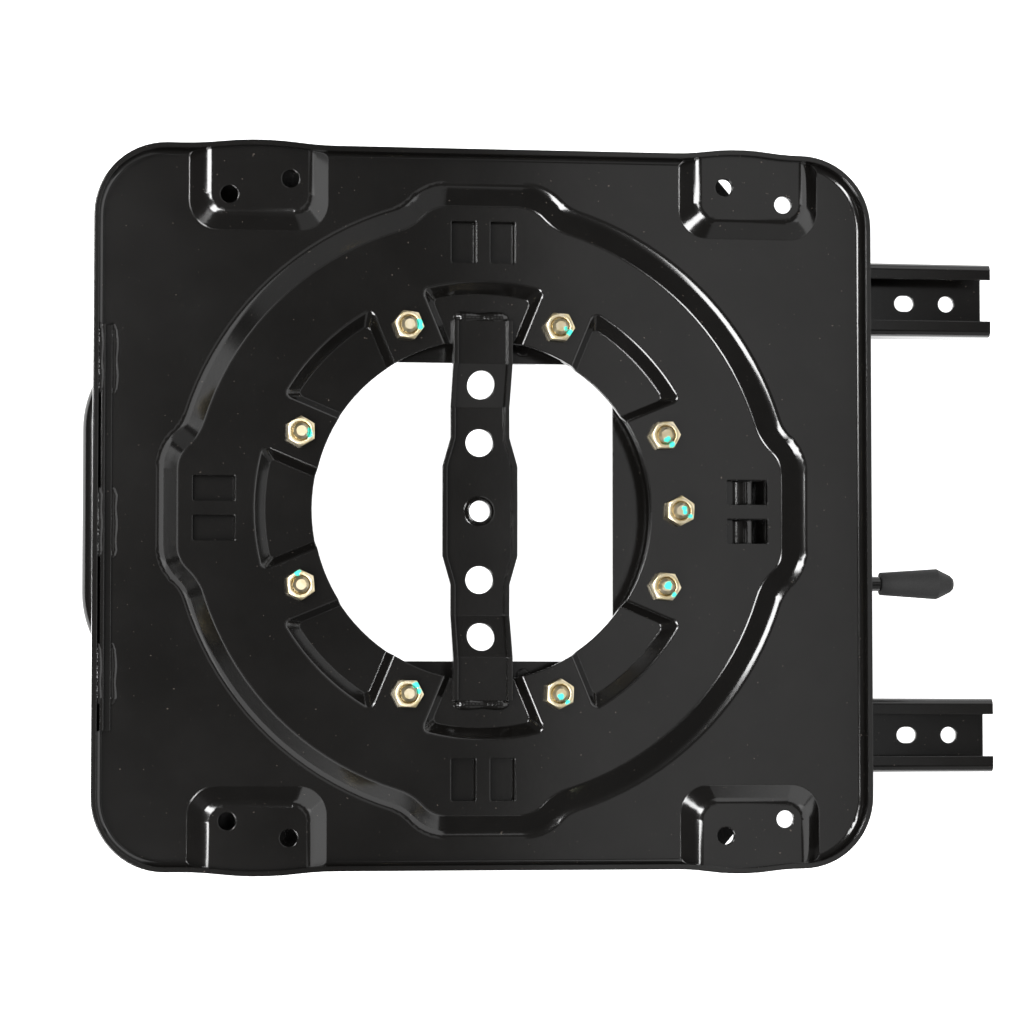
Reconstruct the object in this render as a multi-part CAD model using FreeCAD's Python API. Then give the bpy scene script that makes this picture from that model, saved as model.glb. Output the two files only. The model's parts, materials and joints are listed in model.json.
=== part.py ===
import FreeCAD, Part
import math
import os

from FreeCAD import Vector

os.makedirs("parts", exist_ok=True)

# Swivel seat base on two floor slides, in millimetres, +Z up, +X along the slides.
# The origin is the centre of the floor bolt pattern, on the underside of the lower rails.
# The carriage is stored short of the middle of its travel, with both locks released.

# Swivel axis, along X from the origin
swivel_x = -44.0

# Lower rails: folded channels, open upward, with lips turned in
rail_length = 440.0
rail_width = 37.0
rail_height = 22.0
rail_sheet = 2.5
rail_lip = 8.0
rail_bend = 3.5
rail_spacing = 220.0
floor_hole_r = 4.1
floor_hole_spacing = 404.0
floor_slot_inboard = 22.0
floor_slot_length = 10.2

# Slide lock: notches in the inner lips, teeth on the release bar
lock_pitch = 10.0
lock_teeth = 3
lock_travel_back = 20.0
lock_travel_forward = 100.0
lock_notch_width = 5.0
lock_notch_depth = 4.7
lock_tooth_width = 4.0
lock_tooth_thickness = 3.0
lock_tooth_offset = 0.3
lock_comb_margin = 2.0
lock_x = -60.0

# Upper rails: hat sections that run inside the lower rails
upper_rail_length = 300.0
upper_rail_web = 18.0
upper_rail_flange = 5.5
upper_rail_sheet = 2.5
upper_rail_flange_z = 9.75
shoe_length = 30.0
shoe_inset = 6.0
slide_clearance = 0.3

# Base plate, measured from the swivel axis
base_z = 30.0
base_sheet = 3.0
base_left = 170.0
base_margin = 8.0
base_inset = 4.5
base_corner_r = 20.0
base_chamfer_x = 49.5
base_chamfer_y = 58.9
base_flange_depth = 12.0
base_flange_left = 145.0
base_flange_right = 100.0
window_left = 100.0
window_right = 67.5
window_half_width = 73.5
window_corner_r = 8.0
rail_bolt_margin = 8.5
rail_bolt_r = 4.0
rail_bolt_head_gap = 0.4

# Swivel bearing: a fixed race held between the petals above and the clamp ring below
bolt_circle_r = 97.0
ring_sheet = 2.5
clamp_thickness = 3.0
clamp_land = 12.0
glide_thickness = 1.2
glide_clearance = 0.1
glide_inset = 0.3
glide_outer_inset = 1.4
race_gap = 1.0
race_overlap = 12.7
race_step = 4.3
race_crown = 24.5
race_wall = 4.0
race_foot = 12.0
race_opening_gap = 2.0
rivet_margin = 5.3
rivet_count = 8
rivet_r = 3.0
rivet_head_r = 4.8
rivet_head_height = 2.2
rivet_crown_r = 3.4
rivet_land = 0.5
bolt_r = 4.0
bolt_hole_r = 4.2
bolt_head_r = 7.0
bolt_head_height = 2.6
bolt_head_clearance = 0.8
bolt_end_height = 2.4
bolt_tip_chamfer = 1.5
nut_flats = 13.0
nut_height = 6.5
nut_chamfer = 0.9
nut_clearance = 0.1
nut_turns = [2.0, 56.0, 52.0, 30.0, 35.0, 58.0, 27.0, 55.0, 27.0]
sleeve_r = 6.8

# Upper plate: one pressed sheet, measured from the swivel axis
plate_sheet = 2.5
plate_end_land = 32.4
plate_side_land = 16.9
plate_corner_r = 35.0
rim_height = 9.0
rim_bend = 5.5
recess_depth = 8.0
recess_slope = 9.0
recess_crest_bend = 6.0
recess_foot_bend = 1.5
lobe_depth = 6.4
lobe_half_width = 18.5
lobe_bend = 15.0
lobe_blend = 28.0
petal_depth = 6.0
petal_reach = 7.0
petal_side_slope = 3.3
petal_end_slope = 5.7
petal_corner_r = 3.5
petal_run_in = 14.0
petal_crest_bend = 1.5
island_half_width = 13.5
notch_depth = 1.9
notch_slope = 3.2
notch_half_width = 12.7
notch_side_slope = 0.4
notch_corner_r = 3.0
central_hole_land = 13.7
latch_slot_margin = 3.5
latch_slot_length = 20.4
latch_slot_width = 12.2
latch_slot_offset = 9.6
latch_slot_corner_r = 0.8
latch_slot_end_land = 7.2
pad_height = 5.5
pad_slope = 8.0
pad_corner_r = 14.0
pad_crest_corner_r = 9.2
pad_crest_bend = 7.0
pad_depth = 40.5
pad_left_from = -144.0
pad_left_to = -77.0
pad_right_from = 96.0
pad_right_to = 165.0
pad_bulge = 2.2
seat_hole_r = 4.25
seat_offset = 10.7
seat_outer_spacing_x = 272.0
seat_outer_inset = 24.0
seat_inner_spacing_x = 213.0
seat_inner_inset = 16.0

# Folded strip welded inside the left rim
strip_gap = 1.4
strip_leg = 1.8
strip_height = 6.5
strip_flange = 3.6
strip_bend = 2.3
strip_half_length = 97.3
strip_shift = -10.3

# Cable bar across the central hole
bar_half_length = 93.0
bar_half_width = 14.6
bar_wide_half_width = 18.6
bar_wide_y = 22.0
bar_taper_y = 36.0
bar_drop = 11.0
bar_drop_from_y = 51.0
bar_drop_to_y = 72.0
bar_sheet = 2.5
bar_lip_height = 5.5
bar_hole_r = 6.8
bar_hole_inner_y = 33.7
bar_hole_outer_y = 61.8
bar_centre_hole_r = 5.2
bar_collar_r = 7.4
bar_collar_height = 1.6

# Swivel latch, hinged on a bracket at the right edge of the base plate
latch_sheet = 3.0
latch_pivot_margin = 2.0
latch_pivot_z = 48.0
latch_pin_r = 3.0
latch_pin_clearance = 0.05
pin_head = 1.4
pin_head_gap = 0.1
latch_half_width = 19.0
latch_edge_gap = 0.2
latch_tab_root = 4.0
latch_tab_bend = 7.5
latch_tab_angle = 65.0
latch_tab_clearance = 0.5
latch_tab_relief = 0.4
latch_tab_drop = 0.5
latch_window_length = 7.0
latch_ear_gap = 0.4
latch_ear_r = 5.0
bracket_sheet = 2.5
bracket_length = 13.0
lever_y = -35.0
lever_rod_r = 3.6
lever_wing = 9.0
grip_start_x = 199.0
grip_length = 37.0
grip_start_r = 5.6
grip_max_r = 7.6
grip_end_r = 4.2
grip_cone_length = 8.5
grip_tip_chamfer = 1.5
grip_rod_depth = 22.0
latch_spring_x = 147.0
latch_spring_r = 4.5
latch_spring_wire = 1.2
latch_spring_turns = 3

# Slide release bar: a bent rod with a tooth plate on each arm, hinged under the base plate
release_rod_r = 5.0
release_arm_y = 85.0
release_nose_x = -188.3
release_bend = 45.0
release_pivot_x = 5.0
release_z = 21.0
release_eye_r = 7.0
release_pin_r = 4.0
release_pin_clearance = 0.05
release_pin_head = 0.9
release_ear_sheet = 2.0
release_rivet_x = 17.5
release_relief = 1.5
release_spring_r = 6.35
release_spring_wire = 1.2
release_spring_pitch = 1.35
release_spring_turns = 2
release_hook_gap = 0.15
release_spring_back_leg = 12.2
release_spring_front_leg = 24.0
comb_sheet = 2.5
tooth_rest_gap = 0.7

# Windings of the springs, in straight steps a turn
coil_steps = 12

# Radii from the swivel axis outward, and widths that follow from them
central_hole_r = bolt_circle_r - central_hole_land
clamp_inner_r = bolt_circle_r - clamp_land
race_inner_r = bolt_circle_r + sleeve_r + race_gap
clamp_outer_r = race_inner_r + race_overlap
petal_outer_r = race_inner_r + petal_reach
notch_outer_r = petal_outer_r + notch_depth
latch_slot_inner_r = clamp_outer_r + latch_slot_margin
latch_slot_outer_r = latch_slot_inner_r + latch_slot_length
lobe_foot_reach = latch_slot_outer_r + latch_slot_end_land
recess_foot_r = lobe_foot_reach - lobe_depth
race_crown_r = clamp_outer_r + race_crown
race_foot_r = race_crown_r + race_wall
race_outer_r = race_foot_r + race_foot
rivet_circle_r = race_outer_r - rivet_margin
latch_pivot_x = race_outer_r + latch_pivot_margin
base_right = latch_pivot_x + base_margin
plate_half_length = lobe_foot_reach + recess_slope + plate_end_land
plate_half_width = lobe_foot_reach + recess_slope + plate_side_land
base_half_width = plate_half_width - base_inset
pad_inner_y = plate_half_width - pad_depth
seat_outer_spacing_y = 2 * (plate_half_width - seat_outer_inset)
seat_inner_spacing_y = 2 * (plate_half_width - seat_inner_inset)
rail_y = rail_spacing / 2
rail_bolt_x = math.sqrt((race_outer_r + rail_bolt_margin) ** 2 - rail_y ** 2)

# Levels and angles that follow from the sizes above
base_top = base_z + base_sheet
clamp_z = base_top + bolt_head_clearance + bolt_head_height
clamp_top = clamp_z + clamp_thickness
race_z = clamp_top + glide_clearance + glide_thickness
race_top = race_z + ring_sheet
petal_top = race_top + glide_thickness + glide_clearance + plate_sheet
ring_top = petal_top + petal_depth
ring_under = ring_top - plate_sheet
plate_top = ring_top + recess_depth
pad_top = plate_top + pad_height
rim_top = plate_top + rim_height
petal_step = 45.0
petal_angles = [petal_step * i for i in range(1, 8)]
nut_angles = [petal_step * (i + 0.5) for i in range(8)] + [0.0]
latch_tab_turn = math.radians(latch_tab_angle)
latch_tab_rise = latch_tab_bend * (1 - math.cos(latch_tab_turn))
latch_top = ring_under - latch_tab_drop - latch_tab_rise
latch_z = latch_top - latch_sheet
latch_slot_angles = [0.0, 90.0, 180.0, 270.0]
press_floor = petal_top - 4 * plate_sheet


def box(x0, x1, y0, y1, z0, z1):
    """A box between two corners, given in any order."""
    low = Vector(min(x0, x1), min(y0, y1), min(z0, z1))
    return Part.makeBox(abs(x1 - x0), abs(y1 - y0), abs(z1 - z0), low)


def upright(x, y, z0, z1, r):
    """A cylinder along Z."""
    return Part.makeCylinder(r, z1 - z0, Vector(x, y, z0))


def crosswise(x, z, y0, y1, r):
    """A cylinder along Y."""
    return Part.makeCylinder(r, abs(y1 - y0), Vector(x, min(y0, y1), z), Vector(0, 1, 0))


def lengthwise(y, z, x0, x1, r):
    """A cylinder along X."""
    return Part.makeCylinder(r, x1 - x0, Vector(x0, y, z), Vector(1, 0, 0))


def polygon(points):
    """A closed wire through the points."""
    return Part.makePolygon(points + [points[0]])


def plan_prism(points, z0, z1):
    """A prism of a plan outline between two levels."""
    face = Part.Face(polygon([Vector(x, y, z0) for x, y in points]))
    return face.extrude(Vector(0, 0, z1 - z0))


def flat_sided(low, high):
    """A solid with flat sides between two outlines of as many points."""
    faces = [Part.Face(polygon(low)), Part.Face(polygon(high))]
    for i, point in enumerate(low):
        j = (i + 1) % len(low)
        faces.append(Part.Face(polygon([point, low[j], high[j], high[i]])))
    return Part.Solid(Part.Shell(faces))


def fuse(shapes):
    """All the shapes as one, without the seams."""
    return shapes[0].multiFuse(shapes[1:]).removeSplitter() if len(shapes) > 1 else shapes[0]


def mirrored_y(shape):
    """The shape on the other side of the XZ plane."""
    return shape.mirror(Vector(0, 0, 0), Vector(0, 1, 0))


def edges_where(shape, test):
    """The edges whose middle point passes the test."""
    picked = []
    for edge in shape.Edges:
        low, high = edge.ParameterRange
        if test(edge, edge.valueAt((low + high) / 2)):
            picked.append(edge)
    return picked


def upright_edge(edge, point):
    """True for an edge that runs along Z."""
    box_of = edge.BoundBox
    return box_of.ZLength > 0.1 and box_of.XLength < 1e-3 and box_of.YLength < 1e-3


def flat_edge_at(z):
    """A test for edges that lie at one level."""
    return lambda edge, point: abs(edge.BoundBox.ZMin - z) < 1e-3 and abs(edge.BoundBox.ZMax - z) < 1e-3


def rounded_block(x0, x1, y0, y1, z0, z1, r):
    """A box with its upright edges rounded."""
    block = box(x0, x1, y0, y1, z0, z1)
    return block.makeFillet(r, edges_where(block, upright_edge))


def rounded_wire(x0, x1, y0, y1, r, z):
    """A rectangle with rounded corners, at one level."""
    k = r * (1 - math.sqrt(0.5))
    corners = [
        (Vector(x1 - r, y0, z), Vector(x1 - k, y0 + k, z), Vector(x1, y0 + r, z)),
        (Vector(x1, y1 - r, z), Vector(x1 - k, y1 - k, z), Vector(x1 - r, y1, z)),
        (Vector(x0 + r, y1, z), Vector(x0 + k, y1 - k, z), Vector(x0, y1 - r, z)),
        (Vector(x0, y0 + r, z), Vector(x0 + k, y0 + k, z), Vector(x0 + r, y0, z)),
    ]
    edges = []
    for i, corner in enumerate(corners):
        edges.append(Part.Arc(*corner).toShape())
        edges.append(Part.LineSegment(corner[2], corners[(i + 1) % 4][0]).toShape())
    return Part.Wire(edges)


def turned(shape, angle, x=0.0):
    """A copy turned about an upright axis."""
    copy = shape.copy()
    copy.rotate(Vector(x, 0, 0), Vector(0, 0, 1), angle)
    return copy


def moved(shape, dx=0.0, dy=0.0, dz=0.0):
    """A copy moved by a vector."""
    return shape.translated(Vector(dx, dy, dz))


def folded_sheet(points, t):
    """The outline of a folded sheet: one face through the points, the other a thickness to the left of it."""
    normals = []
    for (x0, y0), (x1, y1) in zip(points, points[1:]):
        run = math.hypot(x1 - x0, y1 - y0)
        normals.append(((y0 - y1) / run, (x1 - x0) / run))
    other = []
    for (x, y), n, m in zip(points, [normals[0]] + normals, normals + [normals[-1]]):
        k = t / (1 + n[0] * m[0] + n[1] * m[1])
        other.append((x + (n[0] + m[0]) * k, y + (n[1] + m[1]) * k))
    return points + list(reversed(other))


def save(node, shapes):
    """Writes the solids of one node."""
    solids = []
    for shape in shapes:
        solids.extend(shape.Solids)
    for solid in solids:
        if not solid.isValid():
            print("not valid:", node)
    whole = solids[0] if len(solids) == 1 else Part.makeCompound(solids)
    whole.exportStep("parts/%s.step" % node)
    print(node, len(solids), round(whole.Volume / 1000, 2), "cm3")


# Lower rails


def lower_rail_section(side):
    """The channel of one rail: outer fold less inner fold, open between the lips."""
    y = side * rail_y
    half = rail_width / 2
    x = rail_length / 2
    outer = box(-x, x, y - half, y + half, 0, rail_height)
    outer = outer.makeFillet(rail_bend, edges_where(outer, lambda e, p: e.BoundBox.XLength > 1))
    inner = box(-x, x, y - half + rail_sheet, y + half - rail_sheet, rail_sheet, rail_height - rail_sheet)
    inner = inner.makeFillet(rail_bend - rail_sheet, edges_where(inner, lambda e, p: e.BoundBox.XLength > 1))
    mouth_half = half - rail_lip
    mouth = box(-x, x, y - mouth_half, y + mouth_half, rail_height / 2, rail_height + 1)
    return outer.cut([inner, mouth])


def floor_holes(side):
    """Round holes near the ends, and a slot inboard of each."""
    y = side * rail_y
    cuts = []
    for end in (-1, 1):
        hole_x = end * floor_hole_spacing / 2
        slot_x = end * (floor_hole_spacing / 2 - floor_slot_inboard)
        reach = floor_slot_length / 2 - floor_hole_r
        high = rail_sheet + 1
        cuts.append(upright(hole_x, y, -1, high, floor_hole_r))
        cuts.append(upright(slot_x - reach, y, -1, high, floor_hole_r))
        cuts.append(upright(slot_x + reach, y, -1, high, floor_hole_r))
        cuts.append(box(slot_x - reach, slot_x + reach, y - floor_hole_r, y + floor_hole_r, -1, high))
    return cuts


def notch_positions():
    """Where the lock notches lie along the rail, one pitch apart."""
    first = swivel_x + lock_x - lock_travel_back - (lock_teeth - 1) / 2 * lock_pitch
    count = round((lock_travel_back + lock_travel_forward) / lock_pitch) + lock_teeth
    return [first + i * lock_pitch for i in range(count)]


def lock_notches(side):
    """Notches in the free edge of the inner lip."""
    lip_edge = side * (rail_y - rail_width / 2 + rail_lip)
    half = lock_notch_width / 2
    cuts = []
    far = lip_edge - side * lock_notch_depth
    low = rail_height - rail_sheet - 1
    for x in notch_positions():
        cuts.append(box(x - half, x + half, lip_edge + side, far, low, rail_height + 1))
    return cuts


def make_lower_rail(side):
    return lower_rail_section(side).cut(floor_holes(side) + lock_notches(side))


# Upper rails and their glide shoes


def upper_rail_ends():
    return swivel_x - upper_rail_length / 2, swivel_x + upper_rail_length / 2


def make_upper_rail(side):
    """A hat section: web under the base plate, legs through the mouth, flanges under the lips."""
    x0, x1 = upper_rail_ends()
    y = side * rail_y
    half = upper_rail_web / 2
    t = upper_rail_sheet
    low = upper_rail_flange_z
    foot = low + t
    reach = half + upper_rail_flange
    points = [
        (-reach, low), (-half + t, low), (-half + t, base_z - t), (half - t, base_z - t),
        (half - t, low), (reach, low), (reach, foot), (half, foot),
        (half, base_z), (-half, base_z), (-half, foot), (-reach, foot),
    ]
    face = Part.Face(polygon([Vector(x0, y + dy, z) for dy, z in points]))
    hat = face.extrude(Vector(x1 - x0, 0, 0))
    crown = edges_where(hat, lambda e, p: e.BoundBox.XLength > 1 and p.z > base_z - 0.01)
    hat = hat.makeFillet(t, crown)
    bolt_xs = (swivel_x - rail_bolt_x, swivel_x + rail_bolt_x)
    return hat.cut([upright(x, y, base_z - t - 1, base_z + 1, bolt_hole_r) for x in bolt_xs])


def shoe(x0, y, outward):
    """A moulded shoe around the edge of one flange, running in the corner of the lower rail."""
    leg = y + outward * (upper_rail_web / 2)
    wall = y + outward * (rail_width / 2 - rail_sheet - slide_clearance)
    low = rail_sheet + slide_clearance
    high = rail_height - rail_sheet - slide_clearance
    body = box(x0, x0 + shoe_length, leg, wall, low, high)
    flange = y + outward * (upper_rail_web / 2 + upper_rail_flange)
    groove = box(x0 - 1, x0 + shoe_length + 1, leg - outward, flange, upper_rail_flange_z,
                 upper_rail_flange_z + upper_rail_sheet)
    return body.cut(groove)


def make_glide_shoes():
    x0, x1 = upper_rail_ends()
    starts = (x0 + shoe_inset, x1 - shoe_inset - shoe_length)
    return [shoe(x, side * rail_y, outward) for side in (-1, 1) for x in starts for outward in (-1, 1)]


def hex_nut(x, y, z, bore):
    """A hexagon nut with its upper corners turned off."""
    corner = nut_flats / math.sqrt(3)
    points = [(x + corner * math.cos(math.radians(60 * i)), y + corner * math.sin(math.radians(60 * i)))
              for i in range(6)]
    body = plan_prism(points, z, z + nut_height)
    turning = upright(x, y, z, z + nut_height, corner + 0.1)
    turning = turning.makeChamfer(nut_chamfer, edges_where(turning, flat_edge_at(z + nut_height)))
    return body.common(turning).cut(upright(x, y, z - 1, z + nut_height + 1, bore))


def rail_bolt_places():
    return [(swivel_x + end * rail_bolt_x, side * rail_y) for side in (-1, 1) for end in (-1, 1)]


def make_rail_bolts():
    """Bolts from inside each upper rail, up through the web and the base plate."""
    head_top = base_z - upper_rail_sheet
    head_r = upper_rail_web / 2 - upper_rail_sheet - rail_bolt_head_gap
    shapes = []
    for x, y in rail_bolt_places():
        head = upright(x, y, head_top - bolt_head_height, head_top, head_r)
        shank = upright(x, y, head_top - 0.1, base_top + nut_height + bolt_end_height, rail_bolt_r)
        tip = edges_where(shank, flat_edge_at(base_top + nut_height + bolt_end_height))
        shapes.append(head.fuse(shank.makeChamfer(bolt_tip_chamfer, tip)).removeSplitter())
    return shapes


def make_rail_nuts():
    return [hex_nut(x, y, base_top, rail_bolt_r + nut_clearance) for x, y in rail_bolt_places()]


# Base plate


def base_outline():
    """The plan of the base plate, with the two right corners cut off."""
    left = swivel_x - base_left
    right = swivel_x + base_right
    w = base_half_width
    return [
        (left, -w), (right - base_chamfer_x, -w), (right, -w + base_chamfer_y),
        (right, w - base_chamfer_y), (right - base_chamfer_x, w), (left, w),
    ]


def make_base_plate():
    plate = plan_prism(base_outline(), base_z, base_top)
    left = swivel_x - base_left
    corners = edges_where(plate, lambda e, p: upright_edge(e, p) and p.x < left + 1)
    plate = plate.makeFillet(base_corner_r, corners)
    for side in (-1, 1):
        outer = side * base_half_width
        x0 = swivel_x - base_flange_left
        x1 = swivel_x + base_flange_right
        flange = box(x0, x1, outer, outer - side * base_sheet, base_z - base_flange_depth, base_top - 0.5)
        plate = plate.fuse(flange)
    plate = plate.removeSplitter()
    window = rounded_block(swivel_x - window_left, swivel_x + window_right, -window_half_width,
                           window_half_width, base_z - 1, base_top + 1, window_corner_r)
    cuts = [window]
    for x, y in rail_bolt_places():
        cuts.append(upright(x, y, base_z - 1, base_top + 1, bolt_hole_r))
    for x, y in race_rivet_places() + bracket_rivet_places() + release_rivet_places():
        cuts.append(upright(x, y, base_z - 1, base_top + 1, rivet_r))
    return plate.cut(cuts)


# Swivel bearing


def ring(r0, r1, z0, z1):
    """A flat ring about the swivel axis."""
    return upright(swivel_x, 0, z0, z1, r1).cut(upright(swivel_x, 0, z0 - 1, z1 + 1, r0))


def polar(r, angle):
    """A point about the swivel axis."""
    return swivel_x + r * math.cos(math.radians(angle)), r * math.sin(math.radians(angle))


def race_rivet_places():
    step = 360.0 / rivet_count
    return [polar(rivet_circle_r, step * (i + 0.5)) for i in range(rivet_count)]


def flush_rivet(x, y, z0, z1):
    """A solid rivet with a low round head underneath, closed flush on top."""
    low = Part.makeCone(rivet_crown_r, rivet_head_r, rivet_head_height, Vector(x, y, z0 - rivet_head_height))
    return upright(x, y, z0, z1, rivet_r).fuse(low).removeSplitter()


def rivet(x, y, z0, z1):
    """A solid rivet with a low round head at each end."""
    high = Part.makeCone(rivet_head_r, rivet_crown_r, rivet_head_height, Vector(x, y, z1))
    return flush_rivet(x, y, z0, z1).fuse(high).removeSplitter()


def make_race_ring():
    """The fixed race: a low inner flange, a raised crown and a riveted foot, open at the latch."""
    crown_z = race_z + race_step
    way = [
        (race_inner_r, race_z), (clamp_outer_r, race_z), (clamp_outer_r + race_step, crown_z),
        (race_crown_r, crown_z), (race_foot_r, base_top), (race_outer_r, base_top),
    ]
    face = Part.Face(polygon([Vector(swivel_x + r, 0, z) for r, z in folded_sheet(way, ring_sheet)]))
    race = face.revolve(Vector(swivel_x, 0, 0), Vector(0, 0, 1), 360)
    half = bracket_foot_end() + race_opening_gap
    x0 = swivel_x + clamp_outer_r
    x1 = swivel_x + race_outer_r + 1
    opening = box(x0, x1, -half, half, base_top - 1, ring_under)
    rivets = [upright(x, y, base_top - 1, base_top + ring_sheet + 1, rivet_r) for x, y in race_rivet_places()]
    return race.cut([opening] + rivets)


def make_race_rivets():
    return [rivet(x, y, base_z, base_top + ring_sheet) for x, y in race_rivet_places()]


def make_clamp_ring():
    plain = ring(clamp_inner_r, clamp_outer_r, clamp_z, clamp_top)
    centres = [polar(bolt_circle_r, angle) for angle in nut_angles]
    return plain.cut([upright(x, y, clamp_z - 1, clamp_top + 1, bolt_hole_r) for x, y in centres])


def make_glide_ring(z):
    return ring(race_inner_r + glide_inset, clamp_outer_r - glide_outer_inset, z, z + glide_thickness)


def make_ring_bolts():
    """Low-headed bolts up through the clamp ring, with their ends above the nuts."""
    shapes = []
    end = ring_top + nut_height + bolt_end_height
    for angle in nut_angles:
        x, y = polar(bolt_circle_r, angle)
        head = upright(x, y, clamp_z - bolt_head_height, clamp_z, bolt_head_r)
        shank = upright(x, y, clamp_z - 0.1, end, bolt_r)
        shank = shank.makeChamfer(bolt_tip_chamfer, edges_where(shank, flat_edge_at(end)))
        shapes.append(head.fuse(shank).removeSplitter())
    return shapes


def make_ring_nuts():
    nuts = []
    for angle, turn in zip(nut_angles, nut_turns):
        x, y = polar(bolt_circle_r, angle)
        nut = hex_nut(x, y, ring_top, bolt_r + nut_clearance)
        nut.rotate(Vector(x, y, 0), Vector(0, 0, 1), turn)
        nuts.append(nut)
    return nuts


def make_spacer_sleeves():
    sleeves = []
    for angle in nut_angles:
        x, y = polar(bolt_circle_r, angle)
        outer = upright(x, y, clamp_top, ring_under, sleeve_r)
        sleeves.append(outer.cut(upright(x, y, clamp_top - 1, ring_under + 1, bolt_hole_r)))
    return sleeves


# Upper plate


def line_edge(start, stop, z):
    """A straight edge between two plan points."""
    return Part.LineSegment(Vector(*start, z), Vector(*stop, z)).toShape()


def arc_edge(centre, start, stop, z):
    """The shorter arc about a centre, between two plan points."""
    cx, cy = centre
    r = math.hypot(start[0] - cx, start[1] - cy)
    mx = start[0] + stop[0] - 2 * cx
    my = start[1] + stop[1] - 2 * cy
    k = r / math.hypot(mx, my)
    return Part.Arc(Vector(*start, z), Vector(cx + mx * k, cy + my * k, z), Vector(*stop, z)).toShape()


def bulges():
    """Centre and half length of each bulge of the long edges, one at each pad."""
    run = plate_half_length - plate_corner_r
    for start, stop in ((pad_left_from, pad_left_to), (pad_right_from, pad_right_to)):
        low = max(start - pad_slope / 2, -run)
        high = min(stop + pad_slope / 2, run)
        yield (low + high) / 2, (high - low) / 2


def bulge_edges(centre, half, inset, z):
    """A low bulge of three arcs that meet smoothly, in the edge along +Y."""
    b = plate_half_width
    r = (half * half + pad_bulge * pad_bulge) / (4 * pad_bulge)
    hub = (centre, b + pad_bulge - r)
    points = [(centre - half, b - inset)]
    for sign in (-1, 1):
        ax = sign * half
        ay = 2 * r - pad_bulge
        k = (r - inset) / (2 * r)
        points.append((centre + ax * k, hub[1] + ay * k))
    points.append((centre + half, b - inset))
    return [
        arc_edge((centre - half, b + r), points[0], points[1], z),
        arc_edge(hub, points[1], points[2], z),
        arc_edge((centre + half, b + r), points[2], points[3], z),
    ], points[0], points[3]


def plate_wire(inset, z):
    """The outline of the plate: straight ends, round corners, long edges that bulge at the pads."""
    a = plate_half_length
    b = plate_half_width
    r = plate_corner_r
    half_edges = [line_edge((-a + inset, 0), (-a + inset, b - r), z)]
    half_edges.append(arc_edge((-a + r, b - r), (-a + inset, b - r), (-a + r, b - inset), z))
    last = (-a + r, b - inset)
    for centre, half in bulges():
        arcs, start, stop = bulge_edges(centre, half, inset, z)
        if math.hypot(start[0] - last[0], start[1] - last[1]) > 1e-6:
            half_edges.append(line_edge(last, start, z))
        half_edges += arcs
        last = stop
    if a - r - last[0] > 1e-6:
        half_edges.append(line_edge(last, (a - r, b - inset), z))
    half_edges.append(arc_edge((a - r, b - r), (a - r, b - inset), (a - inset, b - r), z))
    half_edges.append(line_edge((a - inset, b - r), (a - inset, 0), z))
    upper = Part.Wire(half_edges)
    lower = upper.copy()
    lower.rotate(Vector(0, 0, z), Vector(1, 0, 0), 180)
    whole = Part.Wire(upper.Edges + list(reversed(lower.Edges)))
    return moved(whole, dx=swivel_x)


def plate_prism(inset, z0, z1):
    return Part.Face(plate_wire(inset, z0)).extrude(Vector(0, 0, z1 - z0))


def lobe_points(spread):
    """Half of one lobe, at the right: the end of its flat, two bend centres and where the bends meet."""
    hub = (lobe_foot_reach - lobe_bend, lobe_half_width)
    hub_r = math.hypot(*hub)
    far_r = recess_foot_r + lobe_blend
    apart = lobe_bend + lobe_blend
    cosine = (hub_r ** 2 + far_r ** 2 - apart ** 2) / (2 * hub_r * far_r)
    turn = math.atan2(hub[1], hub[0]) + math.acos(cosine)
    far = (far_r * math.cos(turn), far_r * math.sin(turn))
    k = (lobe_bend + spread) / apart
    meet = (hub[0] + (far[0] - hub[0]) * k, hub[1] + (far[1] - hub[1]) * k)
    k = (recess_foot_r + spread) / far_r
    leave = (far[0] * k, far[1] * k)
    return (lobe_foot_reach + spread, lobe_half_width), hub, meet, far, leave


def recess_wire(spread, z):
    """A circle with four flat-ended lobes, spread outward by a distance."""
    flat, hub, meet, far, leave = lobe_points(spread)

    def under(point):
        return point[0], -point[1]

    edges = []
    for quarter in range(4):
        lobe = [
            arc_edge(under(far), under(leave), under(meet), z),
            arc_edge(under(hub), under(meet), under(flat), z),
            line_edge(under(flat), flat, z),
            arc_edge(hub, flat, meet, z),
            arc_edge(far, meet, leave, z),
            arc_edge((0, 0), leave, (-under(leave)[1], under(leave)[0]), z),
        ]
        for edge in lobe:
            edges.append(turned(edge, 90.0 * quarter))
    return moved(Part.Wire(edges), dx=swivel_x)


def recess_bend(shape, edges, r, lower):
    """A bend of the recess: round on the upper face, a plain bevel on the hidden one."""
    if lower:
        return shape.makeChamfer(r * math.tan(math.atan2(recess_depth, recess_slope) / 2), edges)
    return shape.makeFillet(r, edges)


def recess_tool(lower):
    """What the ring-shaped recess takes out of the plate."""
    drop = plate_sheet if lower else 0.0
    grow = slope_growth(recess_depth, recess_slope) if lower else 0.0
    z0 = ring_top - drop
    z1 = plate_top - drop
    tool = Part.makeLoft([recess_wire(grow, z0), recess_wire(grow + recess_slope, z1)], True, True)
    return recess_bend(tool, edges_where(tool, flat_edge_at(z0)), recess_foot_bend + drop, lower)


def petal_points(offset, z):
    """A wedge with sides parallel to the bolt rays beside a petal, from inside the hole out past its end."""
    half = math.radians(petal_step / 2)
    points = []
    for r in (central_hole_r - petal_run_in, latch_slot_outer_r):
        run = math.sqrt(r * r - offset * offset)
        x = run * math.cos(half) + offset * math.sin(half)
        y = run * math.sin(half) - offset * math.cos(half)
        points += [Vector(swivel_x + x, -y, z), Vector(swivel_x + x, y, z)]
    return [points[0], points[2], points[3], points[1]]


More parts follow.
